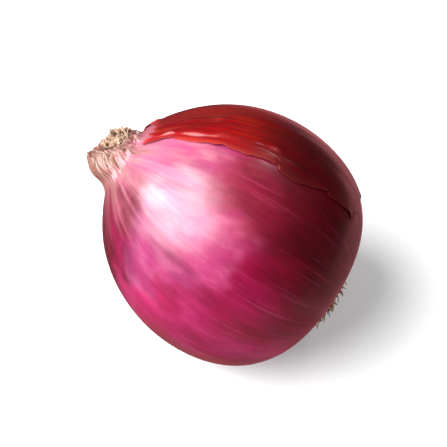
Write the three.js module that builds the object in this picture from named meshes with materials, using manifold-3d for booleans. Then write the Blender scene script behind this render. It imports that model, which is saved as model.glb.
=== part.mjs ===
// A pink shallot, lying on the side that its neighbours pressed flat, with its neck raised.
// Four pieces share the bulb's own frame: the bulb with its neck, the torn dry outer skin on its
// upper back, the dried scale tips in the end of the neck, and the root plate with its rootlets.
// Millimetres, +Z up. The origin is the middle of the small flat spot that the bulb rests on;
// the neck points to -X and upwards, the roots to +X.
import * as THREE from "three";
import { mergeVertices } from "three/addons/utils/BufferGeometryUtils.js";
import Module from "manifold-3d";

const wasm = await Module();
wasm.setup();

// ---- Driving dimensions -------------------------------------------------------------------
const BULB_RADIUS = 16.3; // at the widest ring
const WIDEST_AT = 13.5; // height of that ring above the root end, along the bulb's axis
const SHOULDER_AT = 31.3; // where the round shoulder turns into the neck
const NECK_END_AT = 35.7; // end of the neck, at its longer side
const ROOT_LIP_RADIUS = 4.8; // rim round the root plate
const NECK_ROOT_RADIUS = 5.4; // neck where it leaves the shoulder
const NECK_END_RADIUS = 3.3; // neck at its end
const NECK_SLANT_DEG = 27; // how far the neck's end is cut off square
const NECK_SLANT_TO_DEG = 20; // which way that end faces, round the axis
const NECK_LEAN_FROM = 27; // height at which the neck starts to lean off the axis
const NECK_LEAN = 1.3; // how far its end has leaned
const NECK_LEAN_TO_DEG = 50; // which way it leans
const NECK_RISE_DEG = 28; // how far the axis is raised above the surface, neck up
const REST_SINK = 0.7; // depth of the slice that makes the flat resting spot
const PRESSED_REACH = 3.5; // how far up from the underside the pressed side is eased
const PRESSED_EASE = 0.8; // how much is eased off at its middle
const ROOT_HOLLOW = 1.5; // depth of the hollow that holds the root plate
const NECK_HOLLOW = 1.3; // depth of the hollow in the end of the neck
const NECK_WALL = 1.1; // mean thickness of the pale husk round that hollow
const MOUTH_SHIFT = 0.6; // how far the hollow is off the middle of the neck
const MOUTH_SHIFT_TO_DEG = 35; // which way it is off

const CLEARANCE = 0.3; // gap between two pieces that touch
const SKIN_THICKNESS = 0.6; // outer skin
const SKIN_FRONT_DEG = [6, -5]; // torn front edge at its root and neck end, from the top
const SKIN_BACK_DEG = 124; // torn back edge, round the back from the top
const ROOTLETS = 36;
const ROOTLET_LENGTH = [1.3, 2.4]; // shortest and longest
const ROOTLET_RADIUS = 0.42; // at its base
const ROOTLET_DROOP = 0.5; // share of its length by which a rootlet hangs down
const NECK_SHREDS = 10;
const SHRED_LENGTH = [1.2, 2.2];
const SHRED_RADIUS = 0.6; // half a shred's width at its base

const AROUND = 64; // points in each ring of the bulb
const RADIANS = Math.PI / 180;

// ---- Small tools --------------------------------------------------------------------------
// A repeatable random number between 0 and 1, by a linear congruential generator.
const RANDOM_FACTOR = 1664525;
const RANDOM_STEP = 1013904223;
const RANDOM_RANGE = 2 ** 32;
function seeded(seed) {
  let state = seed;
  return () => {
    state = (state * RANDOM_FACTOR + RANDOM_STEP) % RANDOM_RANGE;
    return state / RANDOM_RANGE;
  };
}

const mix = (low, high, share) => low + (high - low) * share;

// A closed body from a stack of rings with the same number of points, with a point at each end.
function stackSolid(rings, firstPoint, lastPoint) {
  const count = rings[0].length;
  const points = [firstPoint, ...rings.flat(), lastPoint];
  const last = points.length - 1;
  const at = (ring, i) => 1 + ring * count + (i % count);
  const triangles = [];
  for (let i = 0; i < count; i++) {
    triangles.push(0, at(0, i + 1), at(0, i));
    triangles.push(last, at(rings.length - 1, i), at(rings.length - 1, i + 1));
  }
  for (let ring = 0; ring + 1 < rings.length; ring++) {
    for (let i = 0; i < count; i++) {
      triangles.push(at(ring, i), at(ring, i + 1), at(ring + 1, i + 1));
      triangles.push(at(ring, i), at(ring + 1, i + 1), at(ring + 1, i));
    }
  }
  return new THREE.BufferGeometry().setFromPoints(points).setIndex(triangles);
}

// A closed sheet between an outer and an inner grid of points, split alike on both faces.
function sheetSolid(rows, columns, outerAt, innerAt) {
  const points = [];
  for (const pointAt of [outerAt, innerAt]) {
    for (let r = 0; r <= rows; r++) {
      for (let c = 0; c <= columns; c++) points.push(pointAt(r / rows, c / columns));
    }
  }
  const face = (rows + 1) * (columns + 1);
  const at = (r, c) => r * (columns + 1) + c;
  const triangles = [];
  for (let r = 0; r < rows; r++) {
    for (let c = 0; c < columns; c++) {
      const quad = [at(r, c), at(r, c + 1), at(r + 1, c + 1), at(r + 1, c)];
      triangles.push(quad[0], quad[1], quad[2], quad[0], quad[2], quad[3]);
      triangles.push(face + quad[0], face + quad[2], face + quad[1]);
      triangles.push(face + quad[0], face + quad[3], face + quad[2]);
    }
  }
  const rim = [];
  for (let c = 0; c < columns; c++) rim.push(at(0, c));
  for (let r = 0; r < rows; r++) rim.push(at(r, columns));
  for (let c = columns; c > 0; c--) rim.push(at(rows, c));
  for (let r = rows; r > 0; r--) rim.push(at(r, 0));
  rim.forEach((a, i) => {
    const b = rim[(i + 1) % rim.length];
    triangles.push(a, face + a, face + b, a, face + b, b);
  });
  return new THREE.BufferGeometry().setFromPoints(points).setIndex(triangles);
}

function toManifold(geometry) {
  const bare = new THREE.BufferGeometry();
  bare.setAttribute("position", geometry.getAttribute("position"));
  bare.setIndex(geometry.getIndex());
  const merged = mergeVertices(bare, 1e-4);
  const mesh = new wasm.Mesh({
    numProp: 3,
    vertProperties: merged.getAttribute("position").array,
    triVerts: new Uint32Array(merged.getIndex().array),
  });
  return new wasm.Manifold(mesh);
}

function toGeometry(solid) {
  const { vertProperties, triVerts } = solid.getMesh();
  const geometry = new THREE.BufferGeometry();
  geometry.setAttribute("position", new THREE.BufferAttribute(vertProperties, 3));
  geometry.setIndex(new THREE.BufferAttribute(triVerts, 1));
  geometry.computeVertexNormals();
  return geometry;
}

// ---- The bulb's surface -------------------------------------------------------------------
// The bulb's frame has its axis along +Z from the root end to the neck. Angles round the axis
// start at the side that ends on top and run towards the back.
const outline = new THREE.Path();
outline.moveTo(ROOT_LIP_RADIUS, 0);
outline.bezierCurveTo(11.6, 0.3, BULB_RADIUS, 5.4, BULB_RADIUS, WIDEST_AT);
outline.bezierCurveTo(BULB_RADIUS, 20.5, 12.8, 27.9, NECK_ROOT_RADIUS, SHOULDER_AT);
outline.bezierCurveTo(4.3, 31.8, 3.7, 33.2, NECK_END_RADIUS, NECK_END_AT);

// The frame's axes as seen from the bulb: which way is down.
const rise = NECK_RISE_DEG * RADIANS;
const down = new THREE.Vector3(-Math.cos(rise), 0, -Math.sin(rise));

// Slight swelling and flattening round the axis, fading out at both ends.
function swell(angle, height) {
  const body = Math.sin(Math.PI * THREE.MathUtils.clamp(height / NECK_END_AT, 0, 1)) ** 1.5;
  const two = 0.018 * Math.cos(2 * (angle - 1.2));
  const three = 0.012 * Math.cos(3 * (angle + 0.5) + 0.05 * height);
  return 1 + body * (two + three);
}

// A step off the axis, by an amount and in a direction round it.
const stepTo = (amount, degrees) =>
  new THREE.Vector3(amount * Math.cos(degrees * RADIANS), amount * Math.sin(degrees * RADIANS), 0);

// The neck leans off the axis, more and more towards its end.
function neckLean(height) {
  const share = THREE.MathUtils.clamp((height - NECK_LEAN_FROM) / (NECK_END_AT - NECK_LEAN_FROM), 0, 1);
  return stepTo(NECK_LEAN * share ** 2, NECK_LEAN_TO_DEG);
}

// The slanted plane that ends the neck, raised by lift, at a place round and off its middle.
const slant = Math.tan(NECK_SLANT_DEG * RADIANS);
function neckEndPoint(radius, angle, lift) {
  const low = slant * (radius * Math.cos(angle - NECK_SLANT_TO_DEG * RADIANS) + NECK_END_RADIUS);
  const point = new THREE.Vector3(radius * Math.cos(angle), radius * Math.sin(angle), 0);
  return point.add(neckLean(NECK_END_AT)).setZ(NECK_END_AT - low + lift);
}

// The same round the middle of the mouth, which is off the middle of the neck.
const mouthPoint = (radius, angle, lift) =>
  neckEndPoint(radius, angle, lift).add(stepTo(MOUTH_SHIFT, MOUTH_SHIFT_TO_DEG));

// The neck is shortened towards its low side, so that it ends on that plane.
function neckHeight(angle, height) {
  const end = neckEndPoint(NECK_END_RADIUS, angle, 0).z;
  const share = (end - SHOULDER_AT) / (NECK_END_AT - SHOULDER_AT);
  return height > SHOULDER_AT ? SHOULDER_AT + (height - SHOULDER_AT) * share : height;
}

function unpressed(share, angle) {
  const { x: radius, y: height } = outline.getPointAt(share);
  const r = radius * swell(angle, height);
  const point = new THREE.Vector3(r * Math.cos(angle), r * Math.sin(angle), 0);
  return point.add(neckLean(height)).setZ(neckHeight(angle, height));
}

// How far the unpressed bulb reaches down, measured along the down direction.
let deepest = -Infinity;
for (let share = 0; share <= 1; share += 0.005) {
  for (let turn = -20; turn <= 20; turn++) {
    const angle = Math.PI + turn * RADIANS;
    deepest = Math.max(deepest, unpressed(share, angle).dot(down));
  }
}

// Growing against its neighbours pressed the underside: its curve is eased off near the surface.
function bulbPoint(share, angle) {
  const point = unpressed(share, angle);
  const into = THREE.MathUtils.clamp(1 - (deepest - point.dot(down)) / PRESSED_REACH, 0, 1);
  return point.addScaledVector(down, -PRESSED_EASE * into * into);
}

function bulbNormal(share, angle) {
  const step = 1e-3;
  const along = bulbPoint(Math.min(share + step, 1), angle).sub(
    bulbPoint(Math.max(share - step, 0), angle),
  );
  const across = bulbPoint(share, angle + step).sub(bulbPoint(share, angle - step));
  return across.cross(along).normalize();
}

const ringOf = (count, pointAt) =>
  Array.from({ length: count }, (_, i) => pointAt((2 * Math.PI * i) / count));

function circle(count, radius, height) {
  return ringOf(
    count,
    (angle) => new THREE.Vector3(radius * Math.cos(angle), radius * Math.sin(angle), height),
  );
}

// ---- The tilted group, with its place above the surface ------------------------------------
const lean = new THREE.Group();
lean.rotation.y = rise - Math.PI / 2;
lean.updateMatrixWorld(true);

// The lowest point of the pressed bulb, from which the group's place follows.
const lowest = new THREE.Vector3(0, 0, Infinity);
for (let share = 0; share <= 0.6; share += 0.005) {
  const point = bulbPoint(share, Math.PI).applyMatrix4(lean.matrixWorld);
  if (point.z < lowest.z) lowest.copy(point);
}
lean.position.set(-lowest.x, -lowest.y, -lowest.z - REST_SINK);
lean.updateMatrixWorld(true);

// ---- bulb ---------------------------------------------------------------------------------
// The dried rim of the neck is uneven.
const rimLift = (angle) => 0.35 + 0.2 * Math.sin(3 * angle + 1) + 0.12 * Math.sin(5 * angle);

function makeBulb() {
  const BULB_RINGS = 38;
  const hollowRadius = ROOT_LIP_RADIUS - 0.7;
  const mouth = NECK_END_RADIUS - NECK_WALL;
  const mouthRing = (radius, lift) => ringOf(AROUND, (angle) => mouthPoint(radius, angle, lift));
  const whole = stackSolid(
    [
      circle(AROUND, hollowRadius, ROOT_HOLLOW),
      circle(AROUND, hollowRadius + 0.2, 0.35),
      ...Array.from({ length: BULB_RINGS + 1 }, (_, i) =>
        ringOf(AROUND, (angle) => bulbPoint(i / BULB_RINGS, angle)),
      ),
      ringOf(AROUND, (angle) => neckEndPoint(NECK_END_RADIUS - 0.35, angle, rimLift(angle))),
      mouthRing(mouth, 0),
      mouthRing(mouth - 0.1, -NECK_HOLLOW),
    ],
    new THREE.Vector3(0, 0, ROOT_HOLLOW),
    mouthPoint(0, 0, -NECK_HOLLOW),
  );
  const slab = new THREE.BoxGeometry(80, 80, 20).translate(0, 0, -10);
  slab.applyMatrix4(lean.matrixWorld.clone().invert());
  return toGeometry(toManifold(whole).subtract(toManifold(slab)));
}

// ---- outer_skin ---------------------------------------------------------------------------
// A sheet that follows the bulb from the root end to the neck. Its edges are torn along the
// veins, so they run mostly from root to neck, with steps and points.
const tear = (x, seed) =>
  0.6 * Math.sin(6.5 * x + seed) + 0.27 * Math.sin(17 * x + 2.1 * seed) + 0.13 * Math.sin(31 * x);

function skinPlace(along, across) {
  const rootEdge = 0.19 + 0.035 * tear(1.6 * across, 0.4) + 0.05 * across;
  const neckEdge = 0.885 + 0.02 * tear(1.4 * across, 2.2);
  const share = mix(rootEdge, neckEdge, along);
  const front = (mix(...SKIN_FRONT_DEG, along) + 4 * tear(along, 2.6)) * RADIANS;
  const back = (SKIN_BACK_DEG + 9 * tear(along, 3.9)) * RADIANS;
  return [share, mix(front, back, across)];
}

function makeOuterSkin() {
  const skinAt = (lift) => (along, across) => {
    const [share, angle] = skinPlace(along, across);
    return bulbPoint(share, angle).addScaledVector(bulbNormal(share, angle), lift);
  };
  return sheetSolid(26, 26, skinAt(CLEARANCE + SKIN_THICKNESS), skinAt(CLEARANCE));
}

// ---- Tapering strands, for rootlets and shreds ----------------------------------------------
// A strand along a curve: a stack of small rings, "flat" times as thick as it is wide.
function strand(curve, radius, sides, steps, flat, tip) {
  const frames = curve.computeFrenetFrames(steps, false);
  const rings = [];
  for (let i = 0; i <= steps; i++) {
    const centre = curve.getPointAt(i / steps);
    const wide = radius * mix(1, tip, i / steps);
    rings.push(
      ringOf(sides, (angle) =>
        centre
          .clone()
          .addScaledVector(frames.normals[i], wide * flat * Math.cos(angle))
          .addScaledVector(frames.binormals[i], wide * Math.sin(angle)),
      ),
    );
  }
  return stackSolid(rings, curve.getPointAt(0), curve.getPointAt(1));
}

function fuse(core, strands) {
  return toGeometry(strands.reduce((all, one) => all.add(toManifold(one)), toManifold(core)));
}

// ---- root_tuft ----------------------------------------------------------------------------
// Places spread evenly over a disc, in the order of the seeds in a seed head.
const GOLDEN_TURN = 2.39996;
const spread = (i, count) => [Math.sqrt((i + 0.5) / count), i * GOLDEN_TURN];

function makeRootTuft() {
  const random = seeded(7);
  const SIDES = 20;
  const top = ROOT_HOLLOW - CLEARANCE;
  const plateRadius = ROOT_LIP_RADIUS - 0.7 - CLEARANCE;
  const plate = stackSolid(
    [
      circle(SIDES, plateRadius - 1.2, -0.45),
      circle(SIDES, plateRadius - 0.2, -0.1),
      circle(SIDES, plateRadius, 0.4),
      circle(SIDES, plateRadius - 0.1, top),
    ],
    new THREE.Vector3(0, 0, -0.6),
    new THREE.Vector3(0, 0, top),
  );
  const rootlets = [];
  for (let i = 0; i < ROOTLETS; i++) {
    const [out, turn] = spread(i, ROOTLETS);
    const angle = turn + 0.5 * random();
    const length = mix(...ROOTLET_LENGTH, random());
    const side = new THREE.Vector3(Math.cos(angle), Math.sin(angle), 0);
    const twist = new THREE.Vector3(-side.y, side.x, 0).multiplyScalar(mix(-1, 1, random()));
    const foot = side.clone().multiplyScalar(out * (plateRadius - 0.7));
    const opening = 0.1 + 0.5 * out;
    const end = foot.clone().addScaledVector(side, opening * length).add(twist);
    end.x -= ROOTLET_DROOP * length;
    const curve = new THREE.QuadraticBezierCurve3(
      foot.clone().setZ(0.2),
      foot.clone().lerp(end, 0.3).setZ(-0.6 * length),
      end.setZ(-0.9 * length),
    );
    rootlets.push(strand(curve, ROOTLET_RADIUS, 4, 3, 1, 0.6));
  }
  return fuse(plate, rootlets);
}

// ---- neck_tip -----------------------------------------------------------------------------
// The scales' dried tips: a low core in the hollow of the neck, with flat pointed shreds that
// stand out of it square to the slanted end.
function makeNeckTip() {
  const random = seeded(21);
  const SIDES = 14;
  const floor = CLEARANCE - NECK_HOLLOW;
  const coreRadius = NECK_END_RADIUS - NECK_WALL - 0.1 - CLEARANCE;
  const coreRing = (radius, lift) => ringOf(SIDES, (angle) => mouthPoint(radius, angle, lift));
  const core = stackSolid(
    [
      coreRing(coreRadius - 0.5, 0),
      coreRing(coreRadius, -0.25),
      coreRing(coreRadius - 0.1, floor),
    ].reverse(),
    mouthPoint(0, 0, floor),
    mouthPoint(0, 0, 0.1),
  );
  const outwards = stepTo(slant, NECK_SLANT_TO_DEG).setZ(1).normalize();
  const shreds = [];
  for (let i = 0; i < NECK_SHREDS; i++) {
    const [out, turn] = spread(i, NECK_SHREDS);
    const angle = turn + 0.4 * random();
    const side = new THREE.Vector3(Math.cos(angle), Math.sin(angle), 0);
    const foot = mouthPoint(out * (coreRadius - 0.45), angle, -0.5);
    const length = mix(...SHRED_LENGTH, random());
    const bend = mix(0.1, 0.5, random());
    const curve = new THREE.QuadraticBezierCurve3(
      foot,
      foot.clone().addScaledVector(outwards, 0.6 * length),
      foot.clone().addScaledVector(outwards, length).addScaledVector(side, bend * length),
    );
    shreds.push(strand(curve, SHRED_RADIUS, 4, 3, 0.6, 0.35));
  }
  return fuse(core, shreds);
}

// ---- The part -----------------------------------------------------------------------------
function piece(name, geometry, color, roughness) {
  const material = new THREE.MeshStandardMaterial({ color, roughness, metalness: 0 });
  const mesh = new THREE.Mesh(geometry, material);
  mesh.name = name;
  return mesh;
}

lean.add(
  piece("bulb", makeBulb(), 0xb42a5c, 0.3),
  piece("outer_skin", makeOuterSkin(), 0x8e2328, 0.4),
  piece("neck_tip", makeNeckTip(), 0xb48c5a, 0.8),
  piece("root_tuft", makeRootTuft(), 0x9c6c34, 0.9),
);

const shallot = new THREE.Group();
shallot.add(lean);

export default shallot;
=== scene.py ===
# %% [markdown]
# # A pink shallot
# A shallot is a small onion. Its round body is a stack of juicy scales, and the outermost of them
# shows here: stretched, glossy and pink, with veins that run from the roots to the neck. Three
# dead, dry things belong to it: a torn sheet of the papery outer skin, the brown tips of the
# scales in the end of the neck, and the cropped roots.
# The solids of the part come first, as a fixed frame. Every fine piece below stands in the place
# of one of them.

# %% Load the frame
import bisect
import math
import random

import bpy
from mathutils import Matrix, Vector, geometry, noise


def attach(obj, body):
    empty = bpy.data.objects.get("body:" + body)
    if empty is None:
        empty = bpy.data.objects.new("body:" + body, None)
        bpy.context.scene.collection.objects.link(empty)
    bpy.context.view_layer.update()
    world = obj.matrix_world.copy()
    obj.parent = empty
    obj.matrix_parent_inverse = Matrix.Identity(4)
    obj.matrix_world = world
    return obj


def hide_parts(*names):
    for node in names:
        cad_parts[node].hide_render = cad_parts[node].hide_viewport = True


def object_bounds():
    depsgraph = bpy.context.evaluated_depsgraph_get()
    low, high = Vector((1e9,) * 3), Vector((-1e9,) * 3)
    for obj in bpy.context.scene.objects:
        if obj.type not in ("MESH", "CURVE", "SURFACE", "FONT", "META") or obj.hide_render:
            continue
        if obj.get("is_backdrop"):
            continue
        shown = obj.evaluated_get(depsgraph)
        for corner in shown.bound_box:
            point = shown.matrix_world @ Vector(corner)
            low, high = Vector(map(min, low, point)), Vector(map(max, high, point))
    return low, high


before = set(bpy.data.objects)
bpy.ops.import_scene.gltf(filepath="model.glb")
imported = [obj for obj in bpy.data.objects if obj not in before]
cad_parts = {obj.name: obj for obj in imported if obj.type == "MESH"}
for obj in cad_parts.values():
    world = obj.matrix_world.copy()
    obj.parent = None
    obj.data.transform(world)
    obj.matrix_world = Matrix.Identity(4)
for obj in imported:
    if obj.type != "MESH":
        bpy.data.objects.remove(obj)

solid_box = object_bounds()
print("solids:", sorted(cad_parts))

# %% [markdown]
# ## The sizes
# The bulb is described in a frame of its own, with its axis upright, its root end at the bottom
# and its neck on top. Angles round the axis start at the side that ends up on top when the bulb
# lies down, and run towards the back. Only these few sizes are set. All the rest follows.

# %% Driving sizes, in metres
MM = 0.001
# Distances off the axis, and heights over the root end.
BULB_RADIUS = 16.3 * MM
WIDEST_AT = 13.5 * MM
SHOULDER_AT = 31.3 * MM
NECK_END_AT = 35.7 * MM
ROOT_LIP_RADIUS = 4.8 * MM
NECK_ROOT_RADIUS = 5.4 * MM
NECK_END_RADIUS = 3.3 * MM
# The neck is cut at a slant and leans off the axis, and its mouth is off centre.
NECK_SLANT = math.tan(math.radians(27))
NECK_SLANT_TO = math.radians(20)
NECK_LEAN_FROM = 27 * MM
NECK_LEAN = 1.3 * MM
NECK_LEAN_TO = math.radians(50)
NECK_WALL = 1.1 * MM
MOUTH_SHIFT = 0.6 * MM
MOUTH_SHIFT_TO = math.radians(35)
# How steeply the neck rises, how much the flat spot cuts off, and how the pressed side is eased.
NECK_RISE = math.radians(28)
REST_SINK = 0.7 * MM
PRESSED_REACH = 3.5 * MM
PRESSED_EASE = 0.8 * MM

# The outline from the root lip to the end of the neck: (distance off the axis, height).
# Each row is one curve: its start, its two handles and its end.
WIDEST, SHOULDER = (BULB_RADIUS, WIDEST_AT), (NECK_ROOT_RADIUS, SHOULDER_AT)
OUTLINE = [
    [(ROOT_LIP_RADIUS, 0), (11.6 * MM, 0.3 * MM), (BULB_RADIUS, 5.4 * MM), WIDEST],
    [WIDEST, (BULB_RADIUS, 20.5 * MM), (12.8 * MM, 27.9 * MM), SHOULDER],
    [SHOULDER, (4.3 * MM, 31.8 * MM), (3.7 * MM, 33.2 * MM), (NECK_END_RADIUS, NECK_END_AT)],
]


def clamp(x, low=0.0, high=1.0):
    return min(max(x, low), high)


def mix(low, high, share):
    return low + (high - low) * share


def smooth(low, high, x):
    share = clamp((x - low) / (high - low))
    return share * share * (3 - 2 * share)


def ripple(x, y, z):
    """Smooth noise, from -1 to 1, at a place."""
    return noise.noise(Vector((x, y, z)))


# %% [markdown]
# ## How a grown bulb differs from a turned one
# A shape spun round an axis looks machined. A real bulb swells a little more on some sides, its
# neck dries and is cut at a slant, and where it grew against its neighbours it is pressed flat.
# These are small moves of each point, so they are written as one function of the place on the
# outline. Sculpting by hand could do it too, but a function gives every piece the same surface
# to lie on.

# %% Functions of the surface
DOWN = Vector((-math.cos(NECK_RISE), 0, -math.sin(NECK_RISE)))


def swell(angle, height):
    """How much wider than its outline the bulb is: a little oval, a little three-sided."""
    body = math.sin(math.pi * clamp(height / NECK_END_AT)) ** 1.5
    two = 0.018 * math.cos(2 * (angle - 1.2))
    three = 0.012 * math.cos(3 * (angle + 0.5) + 0.05 * height / MM)
    return 1 + body * (two + three)


def step_to(amount, angle):
    """A step off the axis, by an amount and in a direction round it."""
    return Vector((amount * math.cos(angle), amount * math.sin(angle), 0))


def neck_lean(height):
    """The neck leans off the axis, more and more towards its end."""
    share = clamp((height - NECK_LEAN_FROM) / (NECK_END_AT - NECK_LEAN_FROM))
    return step_to(NECK_LEAN * share ** 2, NECK_LEAN_TO)


def neck_end_height(radius, angle):
    """Height of the slanted plane that ends the neck."""
    low = NECK_SLANT * (radius * math.cos(angle - NECK_SLANT_TO) + NECK_END_RADIUS)
    return NECK_END_AT - low


def in_mouth(radius, height):
    return radius < NECK_END_RADIUS and height > SHOULDER_AT


def real_height(radius, angle, height):
    """The neck is shorter on its low side, and its mouth is level with the slanted end."""
    if height <= SHOULDER_AT:
        return height
    if radius < NECK_END_RADIUS:
        return neck_end_height(radius, angle) + height - NECK_END_AT
    share = (neck_end_height(NECK_END_RADIUS, angle) - SHOULDER_AT) / (NECK_END_AT - SHOULDER_AT)
    return SHOULDER_AT + (height - SHOULDER_AT) * share


def unpressed(radius, angle, height):
    """Where a point of the outline is on the grown bulb, before its side is pressed."""
    lean = neck_lean(NECK_END_AT if in_mouth(radius, height) else height)
    point = step_to(radius * swell(angle, height), angle) + lean
    point.z = real_height(radius, angle, height)
    return point


def outline_points(steps):
    """The outline as a chain of points, steps of them on each curve."""
    chain = []
    for start, handle_1, handle_2, end in OUTLINE:
        curve = [Vector((x, 0, z)) for x, z in (start, handle_1, handle_2, end)]
        chain += geometry.interpolate_bezier(*curve, steps)[:-1]
    return chain + [Vector((NECK_END_RADIUS, 0, NECK_END_AT))]


FINE_OUTLINE = outline_points(200)
# How far the lower side reaches down before it is pressed.
DEEPEST = max(
    unpressed(p.x, math.pi + math.radians(turn), p.z).dot(DOWN)
    for p in FINE_OUTLINE
    for turn in range(-20, 21)
)


def mouth_shift(radius):
    """The mouth of the neck is off centre, so its wall is thicker on the low side."""
    share = smooth(0, 1, (NECK_END_RADIUS - radius) / NECK_WALL)
    return step_to(MOUTH_SHIFT * share, MOUTH_SHIFT_TO)


def bulb_point(radius, angle, height):
    """Where a point of the outline is on the real bulb."""
    point = unpressed(radius, angle, height)
    if in_mouth(radius, height):
        point += mouth_shift(radius)
    into = clamp(1 - (DEEPEST - point.dot(DOWN)) / PRESSED_REACH)
    return point - DOWN * PRESSED_EASE * into * into


# The bulb's own frame in the world: leaned over, with the lowest point just under the surface.
LEAN = Matrix.Rotation(NECK_RISE - math.pi / 2, 4, "Y")
low_side = [LEAN @ bulb_point(p.x, math.pi, p.z) for p in FINE_OUTLINE]
lowest = min(low_side, key=lambda p: p.z)
TO_WORLD = Matrix.Translation((-lowest.x, -lowest.y, -lowest.z - REST_SINK)) @ LEAN
print("bulb's root end in the world, mm:", [round(x / MM, 2) for x in TO_WORLD.translation])

# %% [markdown]
# ## Relief: veins, ridges and pleats
# The skin is drawn tight over the scales below, so their veins show as low ridges from root to
# neck. Noise that is read on a circle, and only slowly along the axis, gives streaks that run
# the right way, meet without a seam and draw together at both ends. Near the neck the skin has
# dried and gathers in pleats.

# %% Relief functions
def streak(angle, height, around, along, seed):
    """Noise from -1 to 1 in streaks: around is how many, along how much one changes."""
    up = along * height / NECK_END_AT + seed
    return ripple(around * math.cos(angle), around * math.sin(angle), up)


def relief(angle, height):
    """How far the surface stands out, in metres. Each kind of relief is given in millimetres."""
    body = smooth(0, 0.15, height / NECK_END_AT) * (1 - smooth(0.8, 1, height / NECK_END_AT))
    broad = 0.16 * streak(angle, height, 1.9, 1.6, 3)
    dents = 0.05 * streak(angle, height, 4.2, 5, 19)
    ridges = 0.07 * (0.4 - abs(streak(angle, height, 5.5, 1.5, 11)))
    veins = 0.012 * streak(angle, height, 19, 2.5, 27)
    neck = smooth(0.82, 0.95, height / NECK_END_AT)
    pleats = 0.5 * (0.25 - abs(streak(angle, height, 3.4, 1.4, 41)))
    creases = 0.14 * streak(angle, height, 12, 6, 53)
    return MM * (body * (broad + dents + ridges + veins) + neck * (pleats + creases))


# %% [markdown]
# ## The bulb
# The body is one closed skin. A sphere could be pulled into shape, but its outline is known
# exactly, so it is drawn as a curve and spun round the axis, as a potter's profile is. The
# outline goes on into the hollow of the root end, and at the top into the mouth of the neck.
# There the cut edges of three scales show, one inside the other, so it crosses the rim in
# waves. Then every point is moved to where the grown bulb has it.

# %% Tools for starting and finishing a piece
def only(piece):
    """Makes this the one selected and active object."""
    bpy.ops.object.select_all(action="DESELECT")
    piece.select_set(True)
    bpy.context.view_layer.objects.active = piece
    return piece


def new_piece(name, add_primitive, **settings):
    """Adds a primitive with nothing else selected, and names it."""
    bpy.ops.object.select_all(action="DESELECT")
    add_primitive(**settings)
    piece = bpy.context.object
    piece.name = name
    return piece


def own_copy(piece):
    """A copy with a mesh of its own."""
    copy = piece.copy()
    copy.data = piece.data.copy()
    bpy.context.collection.objects.link(copy)
    return copy


def in_edit_mode(piece, *steps):
    """Selects the whole mesh and runs each step on it in edit mode."""
    only(piece)
    bpy.ops.object.mode_set(mode="EDIT")
    bpy.ops.mesh.select_all(action="SELECT")
    for step in steps:
        step()
    bpy.ops.object.mode_set(mode="OBJECT")
    return piece


def apply_modifier(piece, kind, **settings):
    only(piece)
    modifier = piece.modifiers.new(kind.lower(), kind)
    for name, value in settings.items():
        setattr(modifier, name, value)
    bpy.ops.object.modifier_apply(modifier=modifier.name)


def join_in_the_world(piece, parts):
    """Joins the parts to the piece, and puts the whole where it lies in the world."""
    only(piece)
    for part in parts:
        part.select_set(True)
    bpy.ops.object.join()
    piece.data.transform(TO_WORLD)
    piece.data.update()
    return piece


def merge_points():
    """Points a thousandth of a millimetre apart are one."""
    bpy.ops.mesh.remove_doubles(threshold=0.001 * MM)
    bpy.ops.mesh.dissolve_degenerate(threshold=0.0005 * MM)


def face_outwards():
    bpy.ops.mesh.select_all(action="SELECT")
    bpy.ops.mesh.normals_make_consistent(inside=False)


def polar(point):
    return math.hypot(point.x, point.y), math.atan2(point.y, point.x), point.z


def report(piece):
    size = [round(x / MM, 1) for x in piece.dimensions]
    print(f"{piece.name}: {len(piece.data.polygons)} faces, {size} mm")


# %% The outline, drawn and spun
AROUND = 320
CURVE_STEPS = 54
MOUTH_RADIUS = NECK_END_RADIUS - NECK_WALL
# The way on from the root lip into the root hollow, in mm: (distance off the axis, height).
INTO_ROOT_HOLLOW = [
    (4.5, 0.08), (4.32, 0.3), (4.25, 0.7), (4.2, 1.2), (4.0, 1.5), (2.2, 1.5), (0, 1.5),
]
# The way over the layered rim into the mouth: (share of the wall's thickness, height in mm over
# the neck's end).
INTO_MOUTH = [
    (0.06, 0.14), (0.14, 0.2), (0.21, 0.1), (0.27, -0.2), (0.33, -0.25), (0.4, 0.15),
    (0.48, 0.35), (0.56, 0.2), (0.63, -0.2), (0.7, -0.3), (0.78, 0.05), (0.86, 0.2),
    (0.95, 0.1), (1, -0.2), (1.07, -0.6), (1.1, -1.2), (1.35, -1.3), (3, -1.3),
]


def draw_outline():
    """The outline as a Bezier curve, turned into a chain of edges."""
    bpy.ops.object.select_all(action="DESELECT")
    bpy.ops.curve.primitive_bezier_curve_add(location=(0, 0, 0))
    outline = bpy.context.object
    outline.data.resolution_u = CURVE_STEPS
    knots = outline.data.splines[0].bezier_points
    knots.add(len(OUTLINE) + 1 - len(knots))
    for knot in knots:
        knot.handle_left_type = knot.handle_right_type = "FREE"
    for knot, following, curve in zip(knots, knots[1:], OUTLINE):
        start, handle_1, handle_2, end = [Vector((r, 0, z)) for r, z in curve]
        knot.co, knot.handle_right = start, handle_1
        following.co, following.handle_left = end, handle_2
    knots[0].handle_left, knots[-1].handle_right = knots[0].co, knots[-1].co
    bpy.ops.object.convert(target="MESH")
    return bpy.context.object


def carry_on(piece, last, places):
    """Extrudes the chain from its vertex number last, through each place in turn."""
    only(piece)
    for vertex in piece.data.vertices:
        vertex.select = vertex.index == last
    bpy.ops.object.mode_set(mode="EDIT")
    bpy.ops.mesh.select_mode(type="VERT")
    now = piece.data.vertices[last].co.copy()
    for place in places:
        bpy.ops.mesh.extrude_vertices_move(TRANSFORM_OT_translate={"value": place - now})
        now = place
    bpy.ops.object.mode_set(mode="OBJECT")


def spin_round():
    bpy.ops.mesh.spin(steps=AROUND, angle=2 * math.pi, center=(0, 0, 0), axis=(0, 0, 1))
    bpy.ops.mesh.select_all(action="SELECT")


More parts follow.
